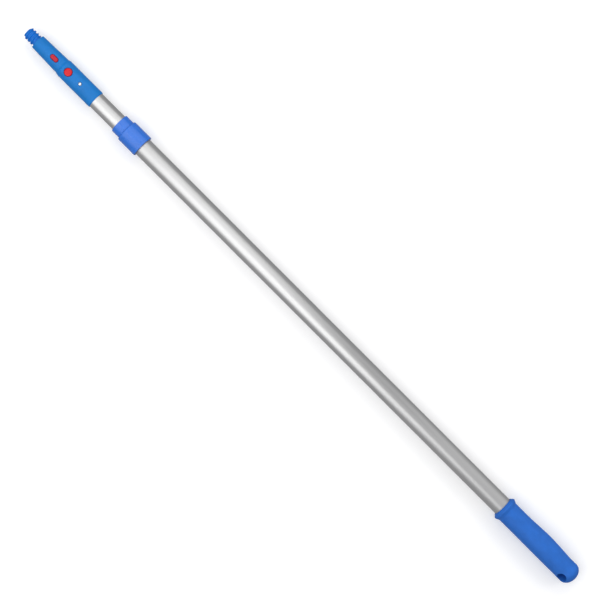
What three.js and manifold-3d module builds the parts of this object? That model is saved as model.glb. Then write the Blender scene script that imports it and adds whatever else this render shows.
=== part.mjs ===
// A two-section telescopic pole for paint rollers. It lies along X with its tip towards -X.
// Millimetres, +Z up, the origin on the floor under the middle of its length.
//
// Every piece is laid out on the pole's own axis. A station is a distance along that axis from the tip,
// and each piece's section is a list of [station, radius] points turned about the axis.
import * as THREE from "three";
import { mergeVertices } from "three/addons/utils/BufferGeometryUtils.js";
import Module from "manifold-3d";

const wasm = await Module();
wasm.setup();

// ---------------------------------------------------------------- driving dimensions

const FACETS = 36; // flats round every turned piece
const SMALL_FACETS = 16; // flats round pins and small bores

// Clearances
const FIT_GAP = 0.3; // between pieces that are fixed to each other
const RUNNING_GAP = 0.12; // between the inner tube and the collet that grips it
const GUIDE_GAP = 0.15; // between the inner section's guides and the outer tube
const TUBE_PLAY = 0.5; // between the two tubes, on the radius

// Lengths along the pole
const POLE_LENGTH = 1085; // pushed right in
const THREAD_LENGTH = 20;
const CONE_TAPER_LENGTH = 49.6; // from the shoulder to the step
const CONE_SLEEVE_LENGTH = 66.3; // from the step to the cone's rear rim
const TUBE_SHOWING = 45.7; // inner tube between the cone and the twist lock
const COLLET_HEAD_LENGTH = 14.2;
const NUT_LENGTH = 32.4;
const GRIP_LENGTH = 143.5;

// Tubes
const INNER_TUBE_RADIUS = 12.5;
const INNER_TUBE_WALL = 1.2;
const OUTER_TUBE_WALL = 1;

// Threaded tip
const THREAD_PITCH = 5.08;
const THREAD_CREST_RADIUS = 9.25;
const THREAD_DEPTH = 1.75;
const THREAD_FIRST_CREST = 2.4; // from the tip's end, at angle 0
const THREAD_RUN_OUT = 0.6;
const NECK_LENGTH = 2.1; // plain, between the thread and the shoulder
const NOSE_RADIUS = 5.5;
const NOSE_LENGTH = 2.8;
const SPIGOT_LENGTH = 18; // in the cone, as thick as the thread's root

// Cone
const CONE_FRONT_RADIUS = 11.2;
const CONE_NOSE_WALL = 1.8;
const CONE_SLEEVE_WALL = 0.85;
const CONE_RIM_HEIGHT = 0.2; // the sleeve's slight flare at its rear rim
const CONE_RIM_LENGTH = 8;
const CONE_RIM_EDGE = 3; // the rounding behind the flare
const CONE_STEP_LENGTH = 2.2;
const CONE_EDGE = 1; // the rounding at the shoulder
const CONE_SEAT_LENGTH = 3.5; // from the step to the face that the inner tube stops on

// Catch: a lever with an oblong lug, and a round button pressed on it
const LUG_BEFORE_STEP = 14.8; // from the lug's middle to the cone's step
const LUG_LENGTH = 12.6;
const LUG_WIDTH = 6.3;
const LUG_PROUD = 1;
const BUTTON_BEHIND_STEP = 12.9;
const BUTTON_RADIUS = 5.7;
const BUTTON_PROUD = 0.8;
const BUTTON_DOME = 0.7;
const CATCH_WINDOW_GAP = 0.65;
const PIVOT_BEHIND_BUTTON = 16.4;
const PIVOT_HEIGHT = 5; // above the pole's axis
const PIVOT_RADIUS = 1.5;
const PIVOT_SINK = 0.6; // of both its ends below the core's surface
const LEVER_HEIGHT = 3.2;
const LEVER_WIDTH = 6;
const LEVER_HUB_RADIUS = 3;
const BUTTON_BOSS_RADIUS = 3;
const BUTTON_BOSS_HEIGHT = 3;
const SPRING_RADIUS = 2.6;
const SPRING_WIRE_RADIUS = 0.4;
const SPRING_TURNS = 5;
const SPRING_POCKET_DEPTH = 11; // below the lever

// Core that holds the lever and its spring in the inner tube
const CORE_FRONT_SETBACK = 3; // from the inner tube's front end
const CORE_LENGTH = 39;
const CORE_CHANNEL_DROP = 2; // room under the lever
const CORE_CHANNEL_BACK = 3.6; // behind the pivot

// Pin through the cone, the inner tube and the core
const PIN_BEHIND_PIVOT = 6.8;
const CONE_PIN_RADIUS = 2.25;
const CONE_PIN_SINK = 0.25; // below the cone's surface
const COUNTERSINK_MARGIN = 1.35; // wider than the pin, at the cone's surface
const COUNTERSINK_DEPTH = 1;

// Twist lock
const COLLET_WALL = 2.03;
const COLLET_FINGERS = 6;
const COLLET_SLOT_WIDTH = 1.2;
const COLLET_SLOT_FRONT = 4; // behind the nut's front face
const LOCK_PITCH = 2.4;
const LOCK_THREAD_DEPTH = 0.7;
const LOCK_THREAD_SETBACK = 1; // from the nut's front face to the front of its thread
const LOCK_THREAD_END = 7.4; // from the nut's front face to the back of both threads
const LOCK_TRAVEL = 1.2; // of the collet in half a turn of the nut
const NUT_WALL = 1.3;
const NUT_CHAMFER = 1.1;
const NUT_REAR_EDGE = 0.4;
const FERRULE_WALL = 1;
const FERRULE_SETBACK = 8.9; // from the nut's front face to the ferrule's mouth
const FERRULE_END_SETBACK = 0.4; // inside the nut's rear face
const SEAT_LENGTH = 7.5; // the ferrule's tapered seat
const SEAT_MOUTH_WALL = 0.65;
const SEAT_THROAT_LIP = 0.45; // how far the seat's throat covers the outer tube's end
const SNAP_BEAD_SETBACK = 10.5; // from the nut's rear face
const SNAP_BEAD_WIDTH = 2;
const SNAP_BEAD_HEIGHT = 0.45;
const RIVET_SETBACK = 5.5; // from the nut's rear face
const RIVET_RADIUS = 1.2;
const RIVET_SINK = 0.1; // below the surfaces at both of its ends

// Inner section's guides
const END_PLUG_BODY = 70;
const END_PLUG_SHANK = 24;
const END_PLUG_BORE = 7;
const GUIDE_RING_WIDTH = 8;
const GUIDE_RING_WALL = 0.9;
const GUIDE_RING_SPLIT = 1.5;
const GUIDE_RING_SETBACK = 20; // from the plug's end

// Butt end
const TUBE_END_SETBACK = 35; // from the grip's end to the outer tube's end
const OUTER_PLUG_LENGTH = 16;
const OUTER_PLUG_FLANGE = 2.4;
const OUTER_PLUG_WALL = 2;
const BUMPER_LENGTH = 6;
const BUMPER_GAP = 0.5; // to the inner section when it is pushed right in

// Grip
const GRIP_WALL = 2;
const GRIP_LIP = 0.5; // the sleeve's edge on the tube
const FLANGE_HEIGHT = 2.7; // above the sleeve
const FLANGE_RISE = 4.6;
const FLANGE_FALL = 6;
const SWELL_HEIGHT = 2.3;
const SWELL_SETBACK = 66; // from the grip's end to the middle of the palm swell
const SWELL_REACH = 46; // half the length of the palm swell
const WAIST_DEPTH = 0.35;
const WAIST_SETBACK = 23;
const WAIST_REACH = 18;
const GRIP_END_LENGTH = 12.6; // the rounded end
const HANG_HOLE_SETBACK = 16; // from the grip's end
const HANG_HOLE_RADIUS = 7.3;
const HANG_HOLE_TURN = 50; // degrees from straight up, towards -Y

// ---------------------------------------------------------------- places and fits that follow from them

const SHOULDER = THREAD_LENGTH;
const CONE_STEP = SHOULDER + CONE_TAPER_LENGTH;
const CONE_END = CONE_STEP + CONE_SLEEVE_LENGTH;
const COLLET_FRONT = CONE_END + TUBE_SHOWING;
const NUT_FRONT = COLLET_FRONT + COLLET_HEAD_LENGTH;
const NUT_REAR = NUT_FRONT + NUT_LENGTH;
const GRIP_FRONT = POLE_LENGTH - GRIP_LENGTH;

const INNER_TUBE_BORE = INNER_TUBE_RADIUS - INNER_TUBE_WALL;
const OUTER_TUBE_BORE = INNER_TUBE_RADIUS + TUBE_PLAY;
const OUTER_TUBE_RADIUS = OUTER_TUBE_BORE + OUTER_TUBE_WALL;

const THREAD_ROOT_RADIUS = THREAD_CREST_RADIUS - THREAD_DEPTH;

const CONE_BORE = INNER_TUBE_RADIUS + FIT_GAP;
const CONE_SLEEVE_RADIUS = CONE_BORE + CONE_SLEEVE_WALL;
const CONE_CAVITY_RADIUS = CONE_FRONT_RADIUS - CONE_NOSE_WALL;
const CONE_SEAT = CONE_STEP + CONE_SEAT_LENGTH;
const INNER_TUBE_FRONT = CONE_SEAT + FIT_GAP;

const LUG_STATION = CONE_STEP - LUG_BEFORE_STEP;
const BUTTON_STATION = CONE_STEP + BUTTON_BEHIND_STEP;
const PIVOT_STATION = BUTTON_STATION + PIVOT_BEHIND_BUTTON;
const CONE_PIN_STATION = PIVOT_STATION + PIN_BEHIND_PIVOT;
const PIVOT_REACH = Math.sqrt((INNER_TUBE_BORE - FIT_GAP) ** 2 - (PIVOT_HEIGHT + PIVOT_RADIUS) ** 2);
const PIVOT_LENGTH = 2 * (PIVOT_REACH - PIVOT_SINK);
const LEVER_TOP = PIVOT_HEIGHT + LEVER_HEIGHT / 2 + FIT_GAP;
const LEVER_BOTTOM = LEVER_TOP - LEVER_HEIGHT;

const COLLET_BORE = INNER_TUBE_RADIUS + RUNNING_GAP;
const COLLET_HEAD_RADIUS = COLLET_BORE + COLLET_WALL;
const LOCK_THREAD_ROOT = COLLET_HEAD_RADIUS - FIT_GAP / 2;
const LOCK_THREAD_CREST = LOCK_THREAD_ROOT + LOCK_THREAD_DEPTH;
const FERRULE_BORE = OUTER_TUBE_RADIUS + FIT_GAP;
const FERRULE_RADIUS = FERRULE_BORE + FERRULE_WALL;
const FERRULE_FRONT = NUT_FRONT + FERRULE_SETBACK;
const SEAT_END = FERRULE_FRONT + SEAT_LENGTH;
const SEAT_MOUTH_RADIUS = FERRULE_RADIUS - SEAT_MOUTH_WALL;
const SEAT_THROAT_RADIUS = OUTER_TUBE_RADIUS - SEAT_THROAT_LIP;
const NUT_BORE = FERRULE_RADIUS + FIT_GAP;
const NUT_RADIUS = NUT_BORE + NUT_WALL;
const SNAP_BEAD_STATION = NUT_REAR - SNAP_BEAD_SETBACK;
const RIVET_STATION = NUT_REAR - RIVET_SETBACK;
const OUTER_TUBE_FRONT = SEAT_END + FIT_GAP;

const OUTER_TUBE_REAR = POLE_LENGTH - TUBE_END_SETBACK;
const OUTER_PLUG_REAR = OUTER_TUBE_REAR + FIT_GAP + OUTER_PLUG_FLANGE;
const BUMPER_REAR = OUTER_TUBE_REAR - OUTER_PLUG_LENGTH;
const END_PLUG_REAR = BUMPER_REAR - BUMPER_LENGTH - BUMPER_GAP;
const END_PLUG_FRONT = END_PLUG_REAR - END_PLUG_BODY;
const INNER_TUBE_REAR = END_PLUG_FRONT - FIT_GAP;
const GUIDE_RADIUS = OUTER_TUBE_BORE - GUIDE_GAP;
const GUIDE_RING_BORE = GUIDE_RADIUS - GUIDE_RING_WALL;
const GROOVE_REAR = END_PLUG_REAR - GUIDE_RING_SETBACK;
const GROOVE_FRONT = GROOVE_REAR - GUIDE_RING_WIDTH - 2 * FIT_GAP;

const GRIP_BORE = OUTER_TUBE_RADIUS + FIT_GAP;
const GRIP_RADIUS = GRIP_BORE + GRIP_WALL;
const FLANGE_RADIUS = GRIP_RADIUS + FLANGE_HEIGHT;
const SWELL_STATION = POLE_LENGTH - SWELL_SETBACK;
const WAIST_STATION = POLE_LENGTH - WAIST_SETBACK;
const HANG_HOLE_STATION = POLE_LENGTH - HANG_HOLE_SETBACK;
const AXIS_HEIGHT = FLANGE_RADIUS * Math.cos(Math.PI / FACETS);

const coneRadiusAt = (station) =>
  THREE.MathUtils.mapLinear(station, SHOULDER, CONE_STEP, CONE_FRONT_RADIUS, INNER_TUBE_RADIUS);

// ---------------------------------------------------------------- materials

const finish = (color, roughness, metalness = 0) =>
  new THREE.MeshStandardMaterial({ color, roughness, metalness });

const coneBlue = finish(0x1676c4, 0.5);
const lockBlue = finish(0x3076da, 0.35);
const gripBlue = finish(0x316dc6, 0.7);
const catchRed = finish(0xe22f34, 0.4);
const aluminium = finish(0xc9cbce, 0.4, 1);
const steel = finish(0xd8dadd, 0.25, 1);
const springSteel = finish(0x8f9296, 0.35, 1);
const blackNylon = finish(0x222428, 0.6);
const greyNylon = finish(0xb9bcc0, 0.6);
const bumperRubber = finish(0x18191b, 0.9);

// ---------------------------------------------------------------- shape helpers

// A section of [station, radius] points turned about the pole's axis. The outside runs from tip to grip.
function turned(points, facets = FACETS) {
  const section = points.map(([station, radius]) => new THREE.Vector2(radius, station));
  const geometry = new THREE.LatheGeometry(section, facets, Math.PI / facets);
  return geometry.rotateZ(-Math.PI / 2);
}

// A section turned about the axis that closes on itself, as a tube's or a ring's does.
const turnedRing = (points, facets) => turned([...points, points[0]], facets);

// A body round the axis whose section changes with the angle: sectionAt(angle) gives as many
// [station, radius] points at every angle, and closes on itself or starts and ends on the axis.
function wound(sectionAt, facets = FACETS) {
  const positions = [];
  const indices = [];
  let rows = 0;
  for (let i = 0; i < facets; i++) {
    const angle = (2 * Math.PI * (i + 0.5)) / facets;
    const section = sectionAt(angle);
    rows = section.length;
    for (const [station, radius] of section) {
      positions.push(station, radius * Math.cos(angle), radius * Math.sin(angle));
    }
  }
  for (let i = 0; i < facets; i++) {
    const next = (i + 1) % facets;
    for (let j = 0; j + 1 < rows; j++) {
      const [a, b, c, d] = [i * rows + j, next * rows + j, next * rows + j + 1, i * rows + j + 1];
      indices.push(a, b, d, b, c, d);
    }
  }
  const geometry = new THREE.BufferGeometry();
  geometry.setAttribute("position", new THREE.Float32BufferAttribute(positions, 3));
  geometry.setIndex(indices);
  return geometry;
}

// A right-hand screw's ridge, from 0 in the root to 1 on the crest, each flat for a quarter of the pitch.
// A crest passes firstCrest at angle 0.
function ridge(station, angle, pitch, firstCrest) {
  const turn = (station - firstCrest) / pitch - angle / (2 * Math.PI);
  const fromCrest = Math.abs(turn - Math.round(turn));
  return THREE.MathUtils.clamp(1.5 - 4 * fromCrest, 0, 1);
}

// A box from one corner to another, in stations, Y and height above the axis.
function block([x0, y0, z0], [x1, y1, z1]) {
  const geometry = new THREE.BoxGeometry(x1 - x0, y1 - y0, z1 - z0);
  return geometry.translate((x0 + x1) / 2, (y0 + y1) / 2, (z0 + z1) / 2);
}

// An upright cylinder or cone between two heights above the axis.
function upright(station, low, high, radius, topRadius = radius, facets = SMALL_FACETS) {
  const geometry = new THREE.CylinderGeometry(topRadius, radius, high - low, facets);
  return geometry.rotateX(Math.PI / 2).translate(station, 0, (low + high) / 2);
}

// A cylinder across the pole, along Y.
function crosswise(station, height, radius, length) {
  return new THREE.CylinderGeometry(radius, radius, length, SMALL_FACETS).translate(station, 0, height);
}

// An oblong outline with round ends, extruded between two heights above the axis.
function oblong(station, length, width, low, high) {
  const reach = (length - width) / 2;
  const outline = new THREE.Shape();
  outline.absarc(reach, 0, width / 2, -Math.PI / 2, Math.PI / 2);
  outline.absarc(-reach, 0, width / 2, Math.PI / 2, (3 * Math.PI) / 2);
  const geometry = new THREE.ExtrudeGeometry(outline, {
    depth: high - low,
    bevelEnabled: false,
    curveSegments: SMALL_FACETS / 2,
  });
  return geometry.translate(station, 0, low);
}

function solid(geometry) {
  const bare = geometry.clone();
  bare.deleteAttribute("normal");
  bare.deleteAttribute("uv");
  const merged = mergeVertices(bare, 1e-4);
  return new wasm.Manifold(
    new wasm.Mesh({
      numProp: 3,
      vertProperties: merged.attributes.position.array,
      triVerts: new Uint32Array(merged.index.array),
    }),
  );
}

function fromSolid(body) {
  const mesh = body.getMesh();
  const geometry = new THREE.BufferGeometry();
  geometry.setAttribute("position", new THREE.BufferAttribute(new Float32Array(mesh.vertProperties), 3));
  geometry.setIndex(new THREE.BufferAttribute(new Uint32Array(mesh.triVerts), 1));
  return geometry;
}

const cut = (geometry, ...tools) =>
  fromSolid(tools.reduce((body, tool) => body.subtract(solid(tool)), solid(geometry)));

const joined = (geometry, ...others) =>
  fromSolid(others.reduce((body, other) => body.add(solid(other)), solid(geometry)));

// ---------------------------------------------------------------- the quick-release cone

// The threaded tip that a roller frame screws on to, with a spigot glued into the cone.
function threadedTip() {
  const threadEnd = SHOULDER - NECK_LENGTH;
  const steps = Math.round((8 * threadEnd) / THREAD_PITCH);
  const sectionAt = (angle) => {
    const section = [[0, 0], [0, NOSE_RADIUS]];
    for (let i = 0; i <= steps; i++) {
      const station = THREE.MathUtils.lerp(NOSE_LENGTH / 2, threadEnd, i / steps);
      const nose = THREE.MathUtils.smoothstep(station, 0, 1.6 * NOSE_LENGTH);
      const crest = THREE.MathUtils.lerp(NOSE_RADIUS + 1, THREAD_CREST_RADIUS, nose);
      const fade = nose * Math.min(1, (threadEnd - station) / THREAD_RUN_OUT);
      const height = fade * ridge(station, angle, THREAD_PITCH, THREAD_FIRST_CREST);
      section.push([station, THREE.MathUtils.lerp(THREAD_ROOT_RADIUS, crest, height)]);
    }
    return [
      ...section,
      [SHOULDER + SPIGOT_LENGTH, THREAD_ROOT_RADIUS],
      [SHOULDER + SPIGOT_LENGTH, 0],
    ];
  };
  return wound(sectionAt);
}

// The cone's shell: a tapered nose that a push-on tool fits over, and a sleeve on the inner tube.
function coneBody() {
  const rim = CONE_SLEEVE_RADIUS + CONE_RIM_HEIGHT;
  const spigotBore = THREAD_ROOT_RADIUS + FIT_GAP;
  const cavityFront = SHOULDER + SPIGOT_LENGTH + FIT_GAP;
  const shell = turnedRing([
    [SHOULDER, spigotBore],
    [SHOULDER, CONE_FRONT_RADIUS - CONE_EDGE],
    [SHOULDER + 0.3 * CONE_EDGE, CONE_FRONT_RADIUS - 0.3 * CONE_EDGE],
    [SHOULDER + CONE_EDGE, CONE_FRONT_RADIUS],
    [CONE_STEP, INNER_TUBE_RADIUS],
    [CONE_STEP + CONE_STEP_LENGTH, CONE_SLEEVE_RADIUS],
    [CONE_END - CONE_RIM_LENGTH, CONE_SLEEVE_RADIUS],
    [CONE_END - CONE_RIM_EDGE, rim],
    [CONE_END - 0.4 * CONE_RIM_EDGE, CONE_SLEEVE_RADIUS],
    [CONE_END, CONE_BORE + FIT_GAP / 2],
    [CONE_END, CONE_BORE],
    [CONE_SEAT, CONE_BORE],
    [CONE_SEAT, CONE_CAVITY_RADIUS],
    [cavityFront, CONE_CAVITY_RADIUS],
    [cavityFront, spigotBore],
  ]);
  const above = 2 * CONE_SLEEVE_RADIUS;
  const surface = CONE_SLEEVE_RADIUS;
  const window = 2 * CATCH_WINDOW_GAP;
  return cut(
    shell,
    oblong(LUG_STATION, LUG_LENGTH + window, LUG_WIDTH + window, 0, above),
    upright(BUTTON_STATION, 0, above, BUTTON_RADIUS + CATCH_WINDOW_GAP),
    upright(CONE_PIN_STATION, -above, above, CONE_PIN_RADIUS + FIT_GAP),
    upright(
      CONE_PIN_STATION,
      surface - COUNTERSINK_DEPTH,
      surface + COUNTERSINK_DEPTH,
      CONE_PIN_RADIUS,
      CONE_PIN_RADIUS + 2 * COUNTERSINK_MARGIN,
    ),
  );
}

// The moulded core in the inner tube's front end: a channel for the lever, two ears for its pivot,
// and a pocket for the spring under the button.
function coneCore() {
  const front = INNER_TUBE_FRONT + CORE_FRONT_SETBACK;
  const radius = INNER_TUBE_BORE - FIT_GAP;
  const body = turned([[front, 0], [front, radius], [front + CORE_LENGTH, radius], [front + CORE_LENGTH, 0]]);
  const side = LEVER_WIDTH / 2 + FIT_GAP;
  const floor = LEVER_BOTTOM - CORE_CHANNEL_DROP;
  const pocket = LEVER_BOTTOM - SPRING_POCKET_DEPTH;
  return cut(
    body,
    block([front - 1, -side, floor], [PIVOT_STATION + CORE_CHANNEL_BACK, side, 2 * radius]),
    upright(BUTTON_STATION, floor - 1, 2 * radius, BUTTON_RADIUS + CATCH_WINDOW_GAP),
    upright(BUTTON_STATION, pocket, 2 * radius, SPRING_RADIUS + SPRING_WIRE_RADIUS + FIT_GAP),
    crosswise(PIVOT_STATION, PIVOT_HEIGHT, PIVOT_RADIUS + FIT_GAP, 4 * radius),
    upright(CONE_PIN_STATION, -2 * radius, 2 * radius, CONE_PIN_RADIUS + FIT_GAP),
  );
}

// The red lever: an arm with the catch lug on its front end and a boss for the button.
function catchLever() {
  const side = LEVER_WIDTH / 2;
  const front = LUG_STATION - LUG_LENGTH / 2;
  const lugTop = coneRadiusAt(LUG_STATION) + LUG_PROUD;
  const arm = joined(
    block([front, -side, LEVER_BOTTOM], [PIVOT_STATION, side, LEVER_TOP]),
    crosswise(PIVOT_STATION, PIVOT_HEIGHT, LEVER_HUB_RADIUS, LEVER_WIDTH),
    oblong(LUG_STATION, LUG_LENGTH, LUG_WIDTH, LEVER_BOTTOM, lugTop),
    upright(BUTTON_STATION, LEVER_BOTTOM, LEVER_TOP + BUTTON_BOSS_HEIGHT, BUTTON_BOSS_RADIUS),
  );
  return cut(arm, crosswise(PIVOT_STATION, PIVOT_HEIGHT, PIVOT_RADIUS + FIT_GAP, 2 * LEVER_WIDTH));
}

// The round button: a domed cap with a blind socket for the lever's boss.
function releaseButton() {
  const bottom = LEVER_TOP + FIT_GAP;
  const top = CONE_SLEEVE_RADIUS + BUTTON_PROUD;
  const socketTop = LEVER_TOP + BUTTON_BOSS_HEIGHT + FIT_GAP;
  const rim = top - BUTTON_DOME;
  const outline = [[0, bottom], [BUTTON_RADIUS, bottom], [BUTTON_RADIUS, rim]];
  for (const share of [0.75, 0.45, 0]) {
    const crown = Math.sqrt(1 - share * share);
    outline.push([BUTTON_RADIUS * share, rim + BUTTON_DOME * crown]);
  }
  const cap = new THREE.LatheGeometry(
    outline.map(([radius, height]) => new THREE.Vector2(radius, height)),
    SMALL_FACETS + SMALL_FACETS / 2,
  );
  cap.rotateX(Math.PI / 2).translate(BUTTON_STATION, 0, 0);
  return cut(cap, upright(BUTTON_STATION, bottom - 1, socketTop, BUTTON_BOSS_RADIUS + FIT_GAP));
}

const leverPivot = () => crosswise(PIVOT_STATION, PIVOT_HEIGHT, PIVOT_RADIUS, PIVOT_LENGTH);

// The coil spring under the button, wound upwards from its pocket to the lever.
function leverSpring() {
  const low = LEVER_BOTTOM - SPRING_POCKET_DEPTH + FIT_GAP + SPRING_WIRE_RADIUS;
  const high = LEVER_BOTTOM - FIT_GAP - SPRING_WIRE_RADIUS;
  class Coil extends THREE.Curve {
    getPoint(share, target = new THREE.Vector3()) {
      const angle = 2 * Math.PI * SPRING_TURNS * share;
      return target.set(
        BUTTON_STATION + SPRING_RADIUS * Math.cos(angle),
        SPRING_RADIUS * Math.sin(angle),
        THREE.MathUtils.lerp(low, high, share),
      );
    }
  }
  const wire = new THREE.Shape().absarc(0, 0, SPRING_WIRE_RADIUS, 0, 2 * Math.PI);
  return new THREE.ExtrudeGeometry(wire, {
    steps: 12 * SPRING_TURNS,
    extrudePath: new Coil(),
    curveSegments: 3,
  });
}

// The steel pin that holds the cone, the inner tube and the core together.
function conePin() {
  const reach = CONE_SLEEVE_RADIUS - CONE_PIN_SINK;
  return upright(CONE_PIN_STATION, -reach, reach, CONE_PIN_RADIUS);
}

// ---------------------------------------------------------------- the inner section

// The inner tube, notched from its front end for the button and drilled for the cone's pin.
function innerTube() {
  const tube = turnedRing([
    [INNER_TUBE_FRONT, INNER_TUBE_BORE],
    [INNER_TUBE_FRONT, INNER_TUBE_RADIUS],
    [INNER_TUBE_REAR, INNER_TUBE_RADIUS],
    [INNER_TUBE_REAR, INNER_TUBE_BORE],
  ]);
  const notch = BUTTON_RADIUS + CATCH_WINDOW_GAP;
  const above = 2 * INNER_TUBE_RADIUS;
  return cut(
    tube,
    block([INNER_TUBE_FRONT - 1, -notch, 0], [BUTTON_STATION, notch, above]),
    upright(BUTTON_STATION, 0, above, notch),
    upright(CONE_PIN_STATION, -above, above, CONE_PIN_RADIUS + FIT_GAP),
  );
}

// The long plug in the inner tube's far end: a shank in the tube and a body that runs in the outer tube.
// Its front shoulder meets the collet at full extension, so the sections can't come apart.
function innerEndPlug() {
  const shankFront = END_PLUG_FRONT - END_PLUG_SHANK;
  const shank = INNER_TUBE_BORE - FIT_GAP;
  const groove = GUIDE_RING_BORE - FIT_GAP;
  return turnedRing([
    [shankFront, END_PLUG_BORE],
    [shankFront, shank],
    [END_PLUG_FRONT, shank],
    [END_PLUG_FRONT, GUIDE_RADIUS],
    [GROOVE_FRONT, GUIDE_RADIUS],
    [GROOVE_FRONT, groove],
    [GROOVE_REAR, groove],
    [GROOVE_REAR, GUIDE_RADIUS],
    [END_PLUG_REAR, GUIDE_RADIUS],
    [END_PLUG_REAR, END_PLUG_BORE],
  ]);
}

// The split ring in the plug's groove, which takes up the play in the outer tube.
function guideRing() {
  const front = GROOVE_FRONT + FIT_GAP;
  const rear = GROOVE_REAR - FIT_GAP;
  const ring = turnedRing([
    [front, GUIDE_RING_BORE],
    [front, GUIDE_RADIUS],
    [rear, GUIDE_RADIUS],
    [rear, GUIDE_RING_BORE],
  ]);
  const split = GUIDE_RING_SPLIT / 2;
  return cut(ring, block([front - 1, -split, 0], [rear + 1, split, 2 * GUIDE_RADIUS]));
}

// ---------------------------------------------------------------- the twist lock

// Stations of a thread of the lock, from its front to the back that the nut's and the collet's share.
function lockThreadStations(front) {
  const length = NUT_FRONT + LOCK_THREAD_END - front;
  const steps = Math.round((5 * length) / LOCK_PITCH);
  return Array.from({ length: steps + 1 }, (_, i) => front + (length * i) / steps);
}

// The collet: its plain head shows in front of the nut, and its slotted fingers grip the inner tube
// as its thread draws them into the ferrule's tapered seat.
function lockCollet() {
  const threadFront = NUT_FRONT + LOCK_THREAD_SETBACK + LOCK_TRAVEL + FIT_GAP;
  const stations = lockThreadStations(threadFront);
  const threadRear = stations.at(-1);
  const fingersEnd = SEAT_END - 3 * FIT_GAP;
  const fingerMouth = SEAT_MOUTH_RADIUS - FIT_GAP;
  const fingerThroat = SEAT_THROAT_RADIUS - FIT_GAP;
  const edge = 0.5;
  const body = wound((angle) => [
    [COLLET_FRONT, COLLET_BORE],
    [COLLET_FRONT, COLLET_HEAD_RADIUS - edge],
    [COLLET_FRONT + edge, COLLET_HEAD_RADIUS],
    [threadFront - edge, COLLET_HEAD_RADIUS],
    ...stations.map((station) => [
      station,
      THREE.MathUtils.lerp(
        LOCK_THREAD_ROOT,
        LOCK_THREAD_CREST,
        ridge(station, angle, LOCK_PITCH, NUT_FRONT),
      ),
    ]),
    [threadRear + edge, fingerMouth],
    [FERRULE_FRONT, fingerMouth],
    [fingersEnd, fingerThroat],
    [fingersEnd, COLLET_BORE],
    [COLLET_FRONT, COLLET_BORE],
  ]);
  const half = COLLET_SLOT_WIDTH / 2;
  const slots = [];
  for (let i = 0; i < COLLET_FINGERS / 2; i++) {
    const slot = block(
      [NUT_FRONT + COLLET_SLOT_FRONT, -half, -2 * NUT_RADIUS],
      [fingersEnd + 1, half, 2 * NUT_RADIUS],
    );
    slots.push(slot.rotateX((2 * Math.PI * (i + 0.25)) / COLLET_FINGERS));
  }
  return cut(body, ...slots);
}

// The nut that the hand turns. It snaps over the ferrule's bead and turns there without moving along,
// and its thread carries the collet.
function lockNut() {
  const threadFront = NUT_FRONT + LOCK_THREAD_SETBACK;
  const stations = lockThreadStations(threadFront);
  const headBore = COLLET_HEAD_RADIUS + FIT_GAP;
  const groove = FERRULE_RADIUS + SNAP_BEAD_HEIGHT + FIT_GAP;
  const grooveFront = SNAP_BEAD_STATION - SNAP_BEAD_WIDTH / 2 - FIT_GAP;
  const grooveRear = SNAP_BEAD_STATION + SNAP_BEAD_WIDTH / 2 + FIT_GAP;
  const threadRear = stations.at(-1);
  const thread = (station, angle) => {
    const height = ridge(station, angle, LOCK_PITCH, NUT_FRONT);
    return THREE.MathUtils.lerp(LOCK_THREAD_ROOT, LOCK_THREAD_CREST, height) + 1.4 * FIT_GAP;
  };
  return wound((angle) => [
    [NUT_FRONT, headBore],
    [NUT_FRONT, NUT_RADIUS - NUT_CHAMFER],
    [NUT_FRONT + NUT_CHAMFER, NUT_RADIUS],
    [NUT_REAR - NUT_REAR_EDGE, NUT_RADIUS],
    [NUT_REAR, NUT_RADIUS - NUT_REAR_EDGE],
    [NUT_REAR, NUT_BORE],
    [grooveRear, NUT_BORE],
    [grooveRear, groove],
    [grooveFront, groove],
    [grooveFront, NUT_BORE],
    [threadRear + 0.5, NUT_BORE],
    ...stations.toReversed().map((station) => [station, thread(station, angle)]),
    [threadFront - 0.5, headBore],
    [NUT_FRONT, headBore],
  ]);
}

// The ferrule on the outer tube's mouth, with the collet's tapered seat in front.
function clampFerrule() {
  const rear = NUT_REAR - FERRULE_END_SETBACK;
  const bead = FERRULE_RADIUS + SNAP_BEAD_HEIGHT;
  const beadHalf = SNAP_BEAD_WIDTH / 2;
  const body = turnedRing([
    [FERRULE_FRONT, SEAT_MOUTH_RADIUS],
    [FERRULE_FRONT, FERRULE_RADIUS],
    [SNAP_BEAD_STATION - beadHalf, FERRULE_RADIUS],
    [SNAP_BEAD_STATION, bead],
    [SNAP_BEAD_STATION + beadHalf, bead],
    [SNAP_BEAD_STATION + beadHalf, FERRULE_RADIUS],
    [rear, FERRULE_RADIUS],
    [rear, FERRULE_BORE],
    [SEAT_END, FERRULE_BORE],
    [SEAT_END, SEAT_THROAT_RADIUS],
  ]);
  return cut(body, crosswise(RIVET_STATION, 0, RIVET_RADIUS + FIT_GAP, 4 * NUT_RADIUS));
}

// One of the two rivets that hold the ferrule on the outer tube, clear of the nut and the inner tube.
function ferruleRivet(side) {
  const inside = OUTER_TUBE_BORE + RIVET_SINK;
  const outside = FERRULE_RADIUS - RIVET_SINK;
  const rivet = crosswise(RIVET_STATION, 0, RIVET_RADIUS, outside - inside);
  return rivet.translate(0, (side * (inside + outside)) / 2, 0);
}

// ---------------------------------------------------------------- the outer section

function outerTube() {
  const tube = turnedRing([
    [OUTER_TUBE_FRONT, OUTER_TUBE_BORE],
    [OUTER_TUBE_FRONT, OUTER_TUBE_RADIUS],
    [OUTER_TUBE_REAR, OUTER_TUBE_RADIUS],
    [OUTER_TUBE_REAR, OUTER_TUBE_BORE],
  ]);
  return cut(tube, crosswise(RIVET_STATION, 0, RIVET_RADIUS + FIT_GAP, 4 * OUTER_TUBE_RADIUS));
}

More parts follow.
